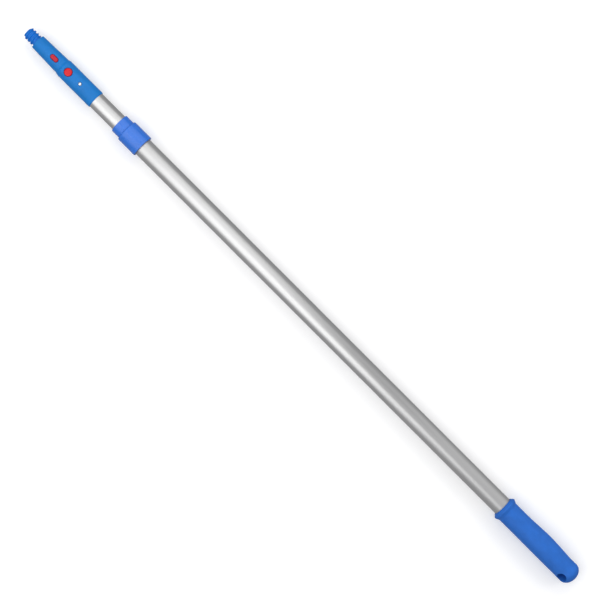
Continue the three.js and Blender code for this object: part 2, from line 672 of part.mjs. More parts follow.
// The cup that closes the outer tube's butt end under the grip.
function outerEndPlug() {
  const front = BUMPER_REAR + FIT_GAP;
  const flangeFront = OUTER_TUBE_REAR + FIT_GAP;
  const body = OUTER_TUBE_BORE - FIT_GAP;
  return turned([
    [front, 0],
    [front, body],
    [flangeFront, body],
    [flangeFront, OUTER_TUBE_RADIUS],
    [OUTER_PLUG_REAR, OUTER_TUBE_RADIUS],
    [OUTER_PLUG_REAR, body - OUTER_PLUG_WALL],
    [front + OUTER_PLUG_WALL, body - OUTER_PLUG_WALL],
    [front + OUTER_PLUG_WALL, 0],
  ]);
}

// The rubber pad that the inner section lands on.
function buttBumper() {
  const front = BUMPER_REAR - BUMPER_LENGTH;
  const radius = OUTER_TUBE_BORE - 2 * FIT_GAP;
  return turned([[front, 0], [front, radius], [BUMPER_REAR, radius], [BUMPER_REAR, 0]]);
}

// A smooth bump that is 1 at its middle and 0 a reach away.
function bump(station, middle, reach) {
  const share = THREE.MathUtils.clamp(Math.abs(station - middle) / reach, 0, 1);
  return 0.5 + 0.5 * Math.cos(Math.PI * share);
}

// The grip's radius behind its flange: a round sleeve with a palm swell square to the hang hole,
// a slight waist behind the swell, and a rounded end.
function gripRadius(station, angle) {
  const swellAngle = THREE.MathUtils.degToRad(HANG_HOLE_TURN); // square to the hole
  const facing = 0.5 + 0.5 * Math.cos(angle - swellAngle);
  const swell = SWELL_HEIGHT * bump(station, SWELL_STATION, SWELL_REACH) * facing * facing;
  const waist = WAIST_DEPTH * bump(station, WAIST_STATION, WAIST_REACH) * facing;
  const intoEnd = Math.max(0, station - (POLE_LENGTH - GRIP_END_LENGTH)) / GRIP_END_LENGTH;
  return (GRIP_RADIUS + swell - waist) * Math.sqrt(Math.max(0, 1 - intoEnd * intoEnd));
}

// The moulded grip: a closed sleeve over the outer tube's butt, with a hang hole through its solid end.
function grip() {
  const boreEnd = OUTER_PLUG_REAR + FIT_GAP;
  const peak = GRIP_FRONT + FLANGE_RISE;
  const bodyFront = peak + FLANGE_FALL;
  const endFront = POLE_LENGTH - GRIP_END_LENGTH;
  const bodySteps = 12;
  const endSteps = 6;
  const flange = [
    [GRIP_FRONT, GRIP_BORE],
    [GRIP_FRONT, GRIP_BORE + GRIP_LIP],
    [peak - 1.2, FLANGE_RADIUS - 0.7],
    [peak - 0.4, FLANGE_RADIUS],
    [peak + 0.8, FLANGE_RADIUS],
    [peak + 2, FLANGE_RADIUS - 0.8],
    [bodyFront - 1.2, GRIP_RADIUS + 0.4],
  ];
  const body = wound((angle) => {
    const section = [[boreEnd, 0], [boreEnd, GRIP_BORE], ...flange];
    for (let i = 0; i < bodySteps; i++) {
      const station = THREE.MathUtils.lerp(bodyFront, endFront, i / bodySteps);
      section.push([station, gripRadius(station, angle)]);
    }
    for (let i = 0; i <= endSteps; i++) {
      const station = endFront + GRIP_END_LENGTH * Math.sin((Math.PI / 2) * (i / endSteps));
      section.push([station, i < endSteps ? gripRadius(station, angle) : 0]);
    }
    return section;
  });
  const reach = 2 * GRIP_RADIUS;
  const hole = upright(HANG_HOLE_STATION, -reach, reach, HANG_HOLE_RADIUS, HANG_HOLE_RADIUS, 24);
  return cut(body, hole.rotateX(THREE.MathUtils.degToRad(HANG_HOLE_TURN)));
}

// ---------------------------------------------------------------- the assembly

const pole = new THREE.Group();
pole.position.set(-POLE_LENGTH / 2, 0, AXIS_HEIGHT);

function place(name, geometry, material) {
  const mesh = new THREE.Mesh(geometry, material);
  mesh.name = name;
  pole.add(mesh);
}

place("threaded_tip", threadedTip(), coneBlue);
place("cone_body", coneBody(), coneBlue);
place("cone_core", coneCore(), blackNylon);
place("catch_lever", catchLever(), catchRed);
place("release_button", releaseButton(), catchRed);
place("lever_pivot", leverPivot(), steel);
place("lever_spring", leverSpring(), springSteel);
place("cone_pin", conePin(), steel);
place("inner_tube", innerTube(), aluminium);
place("inner_end_plug", innerEndPlug(), blackNylon);
place("guide_ring", guideRing(), greyNylon);
place("lock_collet", lockCollet(), lockBlue);
place("lock_nut", lockNut(), lockBlue);
place("clamp_ferrule", clampFerrule(), greyNylon);
place("ferrule_rivet_left", ferruleRivet(-1), steel);
place("ferrule_rivet_right", ferruleRivet(1), steel);
place("outer_tube", outerTube(), aluminium);
place("outer_end_plug", outerEndPlug(), blackNylon);
place("butt_bumper", buttBumper(), bumperRubber);
place("grip", grip(), gripBlue);

export default pole;
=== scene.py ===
"""The looks of a telescopic roller pole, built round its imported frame: fine meshes for every piece
but the hidden core, drawn-metal and moulded-plastic materials, a pale floor and soft studio light.
Metres; the pole lies along X with its tip towards -X, and the release button faces up."""

import math

import bmesh
import bpy
import numpy as np
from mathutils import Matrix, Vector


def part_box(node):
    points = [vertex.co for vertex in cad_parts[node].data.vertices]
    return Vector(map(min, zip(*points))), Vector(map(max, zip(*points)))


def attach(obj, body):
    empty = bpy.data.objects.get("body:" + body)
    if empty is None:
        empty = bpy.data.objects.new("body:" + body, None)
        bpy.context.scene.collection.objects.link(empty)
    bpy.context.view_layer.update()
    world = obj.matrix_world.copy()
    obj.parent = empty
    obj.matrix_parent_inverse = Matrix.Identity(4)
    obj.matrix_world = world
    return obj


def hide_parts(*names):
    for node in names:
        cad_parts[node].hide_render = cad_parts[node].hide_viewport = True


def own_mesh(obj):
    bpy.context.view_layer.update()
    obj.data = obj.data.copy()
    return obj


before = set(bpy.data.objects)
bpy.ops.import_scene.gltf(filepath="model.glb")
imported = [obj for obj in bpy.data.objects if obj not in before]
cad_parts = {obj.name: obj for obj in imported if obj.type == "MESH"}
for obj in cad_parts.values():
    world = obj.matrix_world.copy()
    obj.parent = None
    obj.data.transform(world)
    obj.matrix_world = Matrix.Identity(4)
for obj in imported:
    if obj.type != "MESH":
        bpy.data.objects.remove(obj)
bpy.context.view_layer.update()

MM = 0.001
ROUND = 144  # divisions round a large piece
FINE_ROUND = 64  # divisions round a pin or a small bore
FRAME_FACETS = 36
FLAT = math.cos(math.pi / FRAME_FACETS)  # a flat's distance from the axis, as a share of its corner's
FIT_GAP = 0.3 * MM
SHARP_DEGREES = 32  # edges turned further than this stay crisp


# ---------------------------------------------------------------- places read from the frame


def span(node):
    """The stations along X where a node starts and ends."""
    low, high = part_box(node)
    return low.x, high.x


def half_width(node):
    """Half of a node's width across the pole, which is the radius of its flats."""
    low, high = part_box(node)
    return (high.y - low.y) / 2


def radius(node):
    """The radius of a round node, from the axis to a facet's corner."""
    return half_width(node) / FLAT


TIP_START = span("threaded_tip")[0]
CONE_START, CONE_END = span("cone_body")
AXIS_Z = (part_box("grip")[0].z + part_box("grip")[1].z) / 2
TUBE_RADIUS = radius("inner_tube")
TUBE_BORE = TUBE_RADIUS - 1.2 * MM
OUTER_RADIUS = radius("outer_tube")
OUTER_BORE = OUTER_RADIUS - 1 * MM
BUTTON_X = sum(span("release_button")) / 2
LUG_LENGTH, LUG_WIDTH = 12.6 * MM, 6.3 * MM
LUG_X = span("catch_lever")[0] + LUG_LENGTH / 2
PIN_X = sum(span("cone_pin")) / 2
PIVOT_X = sum(span("lever_pivot")) / 2
PIVOT_Z = (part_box("lever_pivot")[0].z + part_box("lever_pivot")[1].z) / 2
GRIP_START, GRIP_END = span("grip")


# ---------------------------------------------------------------- shapes


def piece_from(name, points, faces, sharp_degrees=SHARP_DEGREES):
    """A closed mesh object of points and faces: doubled points are merged, normals turned outwards, and
    only edges sharper than sharp_degrees are left unsmoothed."""
    mesh = bpy.data.meshes.new(name)
    mesh.from_pydata(np.asarray(points).tolist(), [], np.asarray(faces).tolist())
    work = bmesh.new()
    work.from_mesh(mesh)
    bmesh.ops.remove_doubles(work, verts=work.verts, dist=1e-7)
    bmesh.ops.recalc_face_normals(work, faces=work.faces)
    work.to_mesh(mesh)
    work.free()
    made = bpy.data.objects.new(name, mesh)
    bpy.context.scene.collection.objects.link(made)
    smooth(made, sharp_degrees)
    return made


def smooth(made, sharp_degrees=SHARP_DEGREES):
    """Shades a piece smooth except over edges sharper than the angle."""
    made.data.polygons.foreach_set("use_smooth", np.ones(len(made.data.polygons), bool))
    made.data.set_sharp_from_angle(angle=math.radians(sharp_degrees))


def quads(rows, columns, close_columns):
    """The four corners of every face of a grid of rows by columns, with the rows joined up in a ring."""
    row = np.arange(rows)[:, None]
    column = np.arange(columns if close_columns else columns - 1)[None, :]
    next_row, next_column = (row + 1) % rows, (column + 1) % columns
    corners = (row * columns + column, next_row * columns + column,
               next_row * columns + next_column, row * columns + next_column)
    return np.stack(corners, axis=-1).reshape(-1, 4)


def wound(name, section_at, around=ROUND, closed=True, sharp_degrees=SHARP_DEGREES):
    """A body about the pole's axis. section_at(angle) gives stations and radii, arrays of one row for
    each angle; a point lies at (station, radius * cos(angle), axis height + radius * sin(angle))."""
    angle = (np.arange(around) * 2 * math.pi / around)[:, None]
    station, reach = np.broadcast_arrays(*section_at(angle))
    points = np.stack([station, reach * np.cos(angle), AXIS_Z + reach * np.sin(angle)], axis=-1)
    return piece_from(name, points.reshape(-1, 3), quads(around, station.shape[1], closed), sharp_degrees)


def lined_up(angle, *parts):
    """Joins parts of a section side by side: outlines of (station, radius) rows, which are the same at
    every angle, and pairs of arrays that already hold a row for each angle."""
    ones = np.ones_like(angle)
    stations, radii = [], []
    for part in parts:
        if isinstance(part, np.ndarray):
            stations.append(ones * part[None, :, 0])
            radii.append(ones * part[None, :, 1])
        else:
            stations.append(part[0] + 0 * angle)
            radii.append(part[1])
    return np.hstack(stations), np.hstack(radii)


def eased(corners, steps=6):
    """An outline of (station, radius, ease) corners with each corner rounded: between the two points an
    ease away along its sides runs the curve (1-t)^2 A + 2 t (1-t) corner + t^2 B. Ends stay as they are."""
    places = np.array([corner[:2] for corner in corners])
    outline = [places[:1]]
    t = np.linspace(0, 1, steps)[:, None]
    for before, here, after, ease in zip(places, places[1:], places[2:], [c[2] for c in corners[1:-1]]):
        if ease == 0:
            outline.append(here[None, :])
            continue
        start = here + (before - here) * min(0.49, ease / np.linalg.norm(before - here))
        end = here + (after - here) * min(0.49, ease / np.linalg.norm(after - here))
        outline.append((1 - t) ** 2 * start + 2 * t * (1 - t) * here + t**2 * end)
    outline.append(places[-1:])
    return np.concatenate(outline)


def turned(name, corners, around=ROUND, steps=6, sharp_degrees=SHARP_DEGREES, closed=True):
    """A round piece: an eased outline turned about the pole's axis, the same at every angle."""
    outline = eased(corners, steps)
    if closed:
        outline = outline[:-1]

    def section(angle):
        return lined_up(angle, outline)

    return wound(name, section, around, closed, sharp_degrees)


def ridge(turns, crest=0.14, root=0.14):
    """A screw thread's height from 0 to 1 over one turn: a flat crest and root of these half shares of
    the pitch, joined by an S-shaped flank 3u^2 - 2u^3."""
    from_crest = np.abs(turns - np.round(turns))
    u = np.clip((0.5 - root - from_crest) / (0.5 - root - crest), 0, 1)
    return 3 * u**2 - 2 * u**3


def upright(name, x, outline, around=FINE_ROUND):
    """A round piece standing across the pole: an eased (radius, height, ease) outline turned about the
    upright line through x. Heights are above the pole's axis."""
    profile = eased(outline)
    angle = (np.arange(around) * 2 * math.pi / around)[:, None]
    across = profile[None, :, 0]
    height = AXIS_Z + profile[None, :, 1] + 0 * angle
    points = np.stack([x + across * np.cos(angle), across * np.sin(angle), height], axis=-1)
    return piece_from(name, points.reshape(-1, 3), quads(around, len(profile), False))


def rod(reach, low, high, ease=0):
    """The outline of a plain rod for upright, between two heights."""
    return [(0, low, 0), (reach, low, ease), (reach, high, ease), (0, high, 0)]


def oblong(name, x, length, width, heights, insets):
    """An upright oblong with round ends. Each level is the outline of points (width / 2 - inset) away from
    the middle line between the two ends' centres, at that height above the pole's axis."""
    around = FINE_ROUND
    angle = (np.arange(around) + 0.5) * 2 * math.pi / around
    reach = (length - width) / 2 * np.sign(np.cos(angle))
    level_radius = width / 2 - np.asarray(insets)[None, :]
    along = x + reach[:, None] * (level_radius > 0) + level_radius * np.cos(angle)[:, None]
    across = level_radius * np.sin(angle)[:, None]
    height = AXIS_Z + np.asarray(heights)[None, :] + 0 * across
    points = np.stack([along, across, height], axis=-1)
    return piece_from(name, points.reshape(-1, 3), quads(around, len(heights), False))


def crosswise(name, x, height, reach, length):
    """A round bar across the pole along Y: a circle of that reach, swept from -length / 2 to length / 2."""
    angle = (np.arange(FINE_ROUND) * 2 * math.pi / FINE_ROUND)[:, None]
    across = np.array([[-1, -1, 1, 1]]) * length / 2
    circle = np.array([[0, 1, 1, 0]]) * reach
    along, up = circle * np.cos(angle), circle * np.sin(angle)
    points = np.stack([x + along, across + 0 * angle, AXIS_Z + height + up], axis=-1)
    return piece_from(name, points.reshape(-1, 3), quads(FINE_ROUND, 4, False))


def box(name, low, high, ease=0.3 * MM):
    """A block between two corners, its edges bevelled by ease. Heights are above the pole's axis."""
    low, high = np.array(low), np.array(high)
    unit = np.array([[x, y, z] for x in (0, 1) for y in (0, 1) for z in (0, 1)])
    points = low + unit * (high - low) + [0, 0, AXIS_Z]
    faces = [(0, 1, 3, 2), (4, 6, 7, 5), (0, 4, 5, 1), (2, 3, 7, 6), (0, 2, 6, 4), (1, 5, 7, 3)]
    made = piece_from(name, points, faces)
    if ease:
        bevel = made.modifiers.new("edges", "BEVEL")
        bevel.width = ease
        bevel.segments = 2
        applied(made)
    return made


def applied(made):
    """Makes a piece's modifiers part of its mesh."""
    bpy.context.view_layer.update()
    result = bpy.data.meshes.new_from_object(made.evaluated_get(bpy.context.evaluated_depsgraph_get()))
    made.modifiers.clear()
    made.data = result
    return made


def shaped(made, operation, tools, sharp_degrees=SHARP_DEGREES):
    """Cuts or joins closed meshes into a piece, removes them, and closes up edges under a micrometre."""
    for tool in tools:
        step = made.modifiers.new(tool.name, "BOOLEAN")
        step.operation = operation
        step.solver = "EXACT"
        step.object = tool
    applied(made)
    for tool in tools:
        bpy.data.objects.remove(tool)
    work = bmesh.new()
    work.from_mesh(made.data)
    bmesh.ops.dissolve_degenerate(work, dist=1e-6, edges=work.edges)
    work.to_mesh(made.data)
    work.free()
    smooth(made, sharp_degrees)
    return made


def turned_about_axis(made, degrees):
    """Turns a piece's mesh about the pole's axis, from up towards -Y."""
    angle = math.radians(degrees)
    count = len(made.data.vertices)
    points = np.empty(count * 3)
    made.data.vertices.foreach_get("co", points)
    points = points.reshape(-1, 3)
    y, z = points[:, 1].copy(), points[:, 2] - AXIS_Z
    points[:, 1] = y * math.cos(angle) - z * math.sin(angle)
    points[:, 2] = AXIS_Z + y * math.sin(angle) + z * math.cos(angle)
    made.data.vertices.foreach_set("co", points.ravel())
    return made


# ---------------------------------------------------------------- materials


class Finish:
    """One material's node tree, with short calls for the patterns that the finishes share."""

    def __init__(self, name, roughness, metallic=0.0, specular=0.5):
        self.material = bpy.data.materials.new(name)
        self.material.use_nodes = True
        self.tree = self.material.node_tree
        self.shader = self.tree.nodes["Principled BSDF"]
        self.shader.inputs["Roughness"].default_value = roughness
        self.shader.inputs["Metallic"].default_value = metallic
        self.shader.inputs["Specular IOR Level"].default_value = specular
        self.place = self.tree.nodes.new("ShaderNodeTexCoord").outputs["Object"]

    def link(self, output, socket):
        """Joins one node's output to another's socket."""
        self.tree.links.new(output, socket)

    def noise(self, scale, stretch=(1, 1, 1), detail=3.0, rough=0.55):
        """Noise from 0 to 1 with features of 1 / scale metres, longer along an axis stretched under 1."""
        mapping = self.tree.nodes.new("ShaderNodeMapping")
        mapping.inputs["Location"].default_value = (0, 0, -AXIS_Z)
        mapping.inputs["Scale"].default_value = stretch
        self.link(self.place, mapping.inputs["Vector"])
        texture = self.tree.nodes.new("ShaderNodeTexNoise")
        texture.inputs["Scale"].default_value = scale
        texture.inputs["Detail"].default_value = detail
        texture.inputs["Roughness"].default_value = rough
        self.link(mapping.outputs["Vector"], texture.inputs["Vector"])
        return texture.outputs["Fac"]

    def ramp(self, value, low, high, from_low=0.3, from_high=0.7):
        """A value spread from low to high as it goes from from_low to from_high."""
        node = self.tree.nodes.new("ShaderNodeMapRange")
        node.inputs["From Min"].default_value = from_low
        node.inputs["From Max"].default_value = from_high
        node.inputs["To Min"].default_value = low
        node.inputs["To Max"].default_value = high
        self.link(value, node.inputs["Value"])
        return node.outputs["Result"]

    def blend(self, share, first, second):
        """A colour between two, each a tuple or a node's output."""
        node = self.tree.nodes.new("ShaderNodeMix")
        node.data_type = "RGBA"
        self.link(share, node.inputs["Factor"])
        for socket, colour in ((node.inputs["A"], first), (node.inputs["B"], second)):
            self.colour_into(socket, colour)
        return node.outputs["Result"]

    def colour_into(self, socket, colour):
        """Sets a socket to a colour tuple, or links a node's output to it."""
        if isinstance(colour, tuple):
            socket.default_value = (*colour, 1)
        else:
            self.link(colour, socket)

    def bump(self, height, distance, strength=1.0, under=None):
        """A normal tilted by a height, where 1 stands for that distance, over another bump if given."""
        node = self.tree.nodes.new("ShaderNodeBump")
        node.inputs["Distance"].default_value = distance
        node.inputs["Strength"].default_value = strength
        self.link(height, node.inputs["Height"])
        if under is not None:
            self.link(under, node.inputs["Normal"])
        return node.outputs["Normal"]

    def finish(self, colour, roughness=None, normal=None):
        """Feeds the shader and hands over the material."""
        self.colour_into(self.shader.inputs["Base Color"], colour)
        if roughness is not None:
            self.link(roughness, self.shader.inputs["Roughness"])
        if normal is not None:
            self.link(normal, self.shader.inputs["Normal"])
        return self.material


def scaled(colour, share):
    """A colour made lighter or darker: each channel times the share."""
    return tuple(channel * share for channel in colour)


def moulded(name, colour, roughness, grain, shade=0.08, specular=0.3, grain_scale=3600):
    """Moulded plastic: slow mottling of the colour, a fine grain, and rubbed patches that are smoother."""
    finish = Finish(name, roughness, specular=specular)
    mottle = finish.ramp(finish.noise(90, detail=4), 0, 1)
    tone = finish.blend(mottle, scaled(colour, 1 - shade), scaled(colour, 1 + shade))
    rubbed = finish.ramp(finish.noise(45, (0.5, 1, 1), detail=5), roughness - 0.05, roughness + 0.06)
    fine = finish.bump(finish.noise(grain_scale, detail=2), grain)
    slow = finish.bump(finish.noise(260, detail=3), 2.5 * grain, 0.5, fine)
    return finish.finish(tone, rubbed, slow)


def drawn_aluminium(name, colour, roughness):
    """Satin drawn tube: die lines run along the tube in its colour, roughness and height, with slow dull
    patches and a few short scuffs across them."""
    finish = Finish(name, roughness, metallic=1.0)
    lines = finish.noise(2600, (0.004, 1, 1), detail=4, rough=0.7)
    broad = finish.noise(420, (0.004, 1, 1), detail=3)
    patches = finish.noise(26, (0.35, 1, 1), detail=5)
    streaked = finish.blend(finish.ramp(lines, 0, 1), scaled(colour, 0.93), scaled(colour, 1.05))
    dulled = finish.blend(finish.ramp(patches, 0, 0.5, 0.45, 0.8), streaked, scaled(colour, 0.9))
    rough = finish.ramp(broad, roughness - 0.04, roughness + 0.05)
    scuffs = finish.ramp(finish.noise(700, (1, 0.15, 0.15), detail=2), 0, 1, 0.66, 0.74)
    fine = finish.bump(lines, 4e-6)
    return finish.finish(dulled, rough, finish.bump(scuffs, 3e-6, 0.5, fine))


def polished_steel(name, colour, roughness):
    """Turned steel: small scratches across the pole and a slightly uneven gloss."""
    finish = Finish(name, roughness, metallic=1.0)
    scratches = finish.noise(3200, (1, 0.2, 1), detail=3)
    tone = finish.blend(finish.ramp(scratches, 0, 1), scaled(colour, 0.9), scaled(colour, 1.05))
    rough = finish.ramp(finish.noise(900), roughness - 0.06, roughness + 0.08)
    return finish.finish(tone, rough, finish.bump(scratches, 4e-6))


CONE_BLUE = moulded("cone_blue", (0.002, 0.175, 0.54), 0.42, 1.2e-5, 0.06)
THREAD_BLUE = moulded("thread_blue", (0.001, 0.155, 0.6), 0.36, 0.8e-5, 0.06)
LOCK_BLUE = moulded("lock_blue", (0.018, 0.155, 0.65), 0.26, 0.6e-5, 0.04, 0.6)
GRIP_BLUE = moulded("grip_blue", (0.018, 0.14, 0.55), 0.55, 4e-5, 0.08, 0.3, 2200)
LUG_RED = moulded("lug_red", (0.5, 0.012, 0.03), 0.38, 1e-5)
BUTTON_RED = moulded("button_red", (0.64, 0.012, 0.02), 0.3, 0.6e-5, 0.06)
BLACK_NYLON = moulded("black_nylon", (0.018, 0.018, 0.02), 0.5, 2e-5, 0.2)
GREY_NYLON = moulded("grey_nylon", (0.42, 0.42, 0.43), 0.5, 2e-5)
RUBBER = moulded("bumper_rubber", (0.012, 0.012, 0.013), 0.8, 5e-5, 0.25)
TUBE_METAL = drawn_aluminium("drawn_aluminium", (0.62, 0.62, 0.615), 0.38)
# The steel colour is partly the metal's own grey and partly a painted reflection: its slight blue tint
# stands in for the blue plastic mirrored in the pins and rivets.
PIN_STEEL = polished_steel("pin_steel", (0.82, 0.86, 0.9), 0.4)
SPRING_STEEL = polished_steel("spring_steel", (0.42, 0.42, 0.44), 0.3)


def dress(made, material, body, slot, *nodes):
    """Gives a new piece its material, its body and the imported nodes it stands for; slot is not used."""
    made.data.materials.clear()
    made.data.materials.append(material)
    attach(made, body)
    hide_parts(*nodes)
    return made


# ---------------------------------------------------------------- the quick-release cone

THREAD_PITCH = 5.08 * MM
FIRST_CREST = 2.4 * MM
RUN_OUT = 0.7 * MM
NECK_LENGTH = 2.1 * MM
CREST_RADIUS = 9.25 * MM
ROOT_RADIUS = 7.5 * MM
NOSE_RADIUS = 5.5 * MM
NOSE_LENGTH = 4.2 * MM
SHOULDER_RADIUS = 11.2 * MM
STEP_X = CONE_START + 49.6 * MM
STEP_LENGTH = 2.2 * MM
SLEEVE_RADIUS = TUBE_RADIUS + FIT_GAP + 0.85 * MM
WINDOW_GAP = 0.65 * MM
BUTTON_RADIUS = half_width("release_button")
PIN_RADIUS = half_width("cone_pin")
PIVOT_HEIGHT = PIVOT_Z - AXIS_Z
PIVOT_BORE = 1.8 * MM
ARM_TOP, ARM_BOTTOM = PIVOT_HEIGHT + 1.9 * MM, PIVOT_HEIGHT - 1.3 * MM
ARM_WIDTH = 6 * MM


def threaded_tip():
    """The tip's radius is the root plus the ridge's height times (crest - root), where the ridge follows
    (distance from the tip - first crest) / pitch - angle / 2 pi. Both grow out of the rounded nose as
    sqrt(1 - (1 - u)^2), and the ridge runs out to nothing just in front of the plain neck."""
    end = span("threaded_tip")[1]
    thread_end = CONE_START - NECK_LENGTH
    station = TIP_START + np.linspace(0.0, 1.0, 150)[None, :] ** 1.2 * (thread_end - TIP_START)
    tail = np.array([
        [CONE_START, ROOT_RADIUS], [end - 0.5 * MM, ROOT_RADIUS], [end, ROOT_RADIUS - 0.5 * MM], [end, 0]])

    def section(angle):
        along = station - TIP_START
        nose = np.sqrt(1 - (1 - np.clip(along / NOSE_LENGTH, 0, 1)) ** 2)
        fade = np.clip((thread_end - station) / RUN_OUT, 0, 1)
        height = fade * ridge((along - FIRST_CREST) / THREAD_PITCH - angle / (2 * math.pi), 0.12, 0.16)
        crest = NOSE_RADIUS + (CREST_RADIUS - NOSE_RADIUS) * nose
        root = NOSE_RADIUS + (ROOT_RADIUS - NOSE_RADIUS) * nose
        return lined_up(angle, np.array([[TIP_START, 0]]), (station, root + (crest - root) * height), tail)

    made = wound("thread_tip", section, closed=False, sharp_degrees=40)
    return dress(made, THREAD_BLUE, "inner_section", "cone_plastic", "threaded_tip")


def cone_shell():
    """The cone's eased outline turned about the axis, then the windows for the lug and the button cut
    through the upper wall, and the pin's countersunk bore through both."""
    bore = TUBE_RADIUS + FIT_GAP
    rim = SLEEVE_RADIUS + 0.2 * MM
    cavity = SHOULDER_RADIUS - 1.8 * MM
    spigot = ROOT_RADIUS + FIT_GAP
    cavity_start = CONE_START + 18.3 * MM
    seat = STEP_X + 3.5 * MM
    made = turned("cone_shell", [
        (CONE_START, spigot, 0),
        (CONE_START, SHOULDER_RADIUS, 1.1 * MM),
        (STEP_X - 0.4 * MM, TUBE_RADIUS - 0.02 * MM, 0.8 * MM),
        (STEP_X + STEP_LENGTH, SLEEVE_RADIUS, 1.2 * MM),
        (CONE_END - 9 * MM, SLEEVE_RADIUS, 3 * MM),
        (CONE_END - 3.2 * MM, rim, 1.6 * MM),
        (CONE_END - 0.5 * MM, SLEEVE_RADIUS - 0.3 * MM, 0.9 * MM),
        (CONE_END, bore, 0.1 * MM),
        (seat, bore, 0),
        (seat, cavity, 0.4 * MM),
        (cavity_start, cavity, 0),
        (cavity_start, spigot, 0),
        (CONE_START, spigot, 0),
    ])
    above = 2 * SLEEVE_RADIUS
    mouth = SLEEVE_RADIUS - 0.35 * MM
    window = BUTTON_RADIUS + WINDOW_GAP
    pin_bore, countersink = PIN_RADIUS + FIT_GAP, PIN_RADIUS + 1.56 * MM
    taper_share = (LUG_X - CONE_START) / (STEP_X - CONE_START)
    lug_mouth = SHOULDER_RADIUS + taper_share * (TUBE_RADIUS - SHOULDER_RADIUS)
    windows = [
        oblong("lug_window", LUG_X, LUG_LENGTH + 2 * WINDOW_GAP, LUG_WIDTH + 2 * WINDOW_GAP,
               [0, 0, lug_mouth - 0.5 * MM, lug_mouth + 0.2 * MM, above, above],
               [LUG_WIDTH / 2 + WINDOW_GAP, 0, 0, -0.35 * MM, -0.35 * MM, LUG_WIDTH / 2 + WINDOW_GAP]),
        upright("button_window", BUTTON_X, [
            (0, 0, 0), (window, 0, 0), (window, mouth - 0.5 * MM, 0),
            (window + 0.4 * MM, mouth + 0.3 * MM, 0), (window + 0.4 * MM, above, 0), (0, above, 0)]),
        upright("pin_bore", PIN_X, [
            (0, -above, 0), (countersink, -above, 0), (countersink, -SLEEVE_RADIUS - 0.2 * MM, 0),
            (pin_bore, -SLEEVE_RADIUS + 1 * MM, 0), (pin_bore, SLEEVE_RADIUS - 1 * MM, 0),
            (countersink, SLEEVE_RADIUS + 0.2 * MM, 0), (countersink, above, 0), (0, above, 0)]),
    ]
    shaped(made, "DIFFERENCE", windows)
    return dress(made, CONE_BLUE, "inner_section", "cone_plastic", "cone_body")


def catch_lever():
    """The lever's bevelled arm and hub joined to the lug, an oblong whose top is crowned in four steps."""
    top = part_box("catch_lever")[1].z - AXIS_Z
    crown = [top - down * MM for down in (1.1, 0.6, 0.25, 0.05, 0, 0)]
    insets = [LUG_WIDTH / 2, 0, 0, 0.12 * MM, 0.45 * MM, 1.1 * MM, 2.2 * MM, LUG_WIDTH / 2]
    made = oblong("catch_arm", LUG_X, LUG_LENGTH, LUG_WIDTH, [ARM_BOTTOM, ARM_BOTTOM, *crown], insets)
    side = ARM_WIDTH / 2
    arm = box("arm", (LUG_X - 5 * MM, -side, ARM_BOTTOM + 0.1 * MM), (PIVOT_X, side, ARM_TOP))
    boss_bottom, boss_top = ARM_BOTTOM + 0.2 * MM, ARM_TOP + 3 * MM
    boss = upright("boss", BUTTON_X, [
        (0, boss_bottom, 0), (3 * MM, boss_bottom, 0), (3 * MM, boss_top, 0.4 * MM), (0, boss_top, 0)])
    hub = crosswise("hub", PIVOT_X, PIVOT_HEIGHT, 3 * MM, ARM_WIDTH - 0.04 * MM)
    shaped(made, "UNION", [arm, boss, hub])
    shaped(made, "DIFFERENCE", [crosswise("bore", PIVOT_X, PIVOT_HEIGHT, PIVOT_BORE, 20 * MM)])
    return dress(made, LUG_RED, "catch", "catch_plastic", "catch_lever")


def release_button():
    """A round button with a crowned top, an eased rim and a blind socket underneath."""
    low, high = (corner.z - AXIS_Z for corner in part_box("release_button"))
    reach = BUTTON_RADIUS
    socket = 3.3 * MM  # both its radius and its depth
    dome = 0.62 * MM
    made = upright("push_button", BUTTON_X, [
        (0, low + socket, 0), (socket, low + socket, 0.3 * MM), (socket, low, 0.2 * MM),
        (reach, low, 0.3 * MM), (reach, high - dome, 0.7 * MM), (0.5 * reach, high, 2.2 * MM),
        (0, high, 0)])
    return dress(made, BUTTON_RED, "catch", "catch_plastic", "release_button")


def cone_pin():
    """A steel pin right through the sleeve, with crowned ends."""
    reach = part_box("cone_pin")[1].z - AXIS_Z
    half = PIN_RADIUS
    made = upright("cross_pin", PIN_X, [
        (0, -reach, 0), (0.5 * half, -reach, 0.3 * MM), (half, -reach + 0.5 * MM, 0.4 * MM),
        (half, reach - 0.5 * MM, 0.4 * MM), (0.5 * half, reach, 0.3 * MM), (0, reach, 0)])
    return dress(made, PIN_STEEL, "inner_section", "pin_steel", "cone_pin")


def lever_pivot():
    """A plain pin across the pole, as wide and as long as the frame gives it."""
    low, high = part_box("lever_pivot")
    made = crosswise("pivot_pin", PIVOT_X, PIVOT_HEIGHT, (high.x - low.x) / 2, high.y - low.y)
    return dress(made, PIN_STEEL, "inner_section", "pin_steel", "lever_pivot")


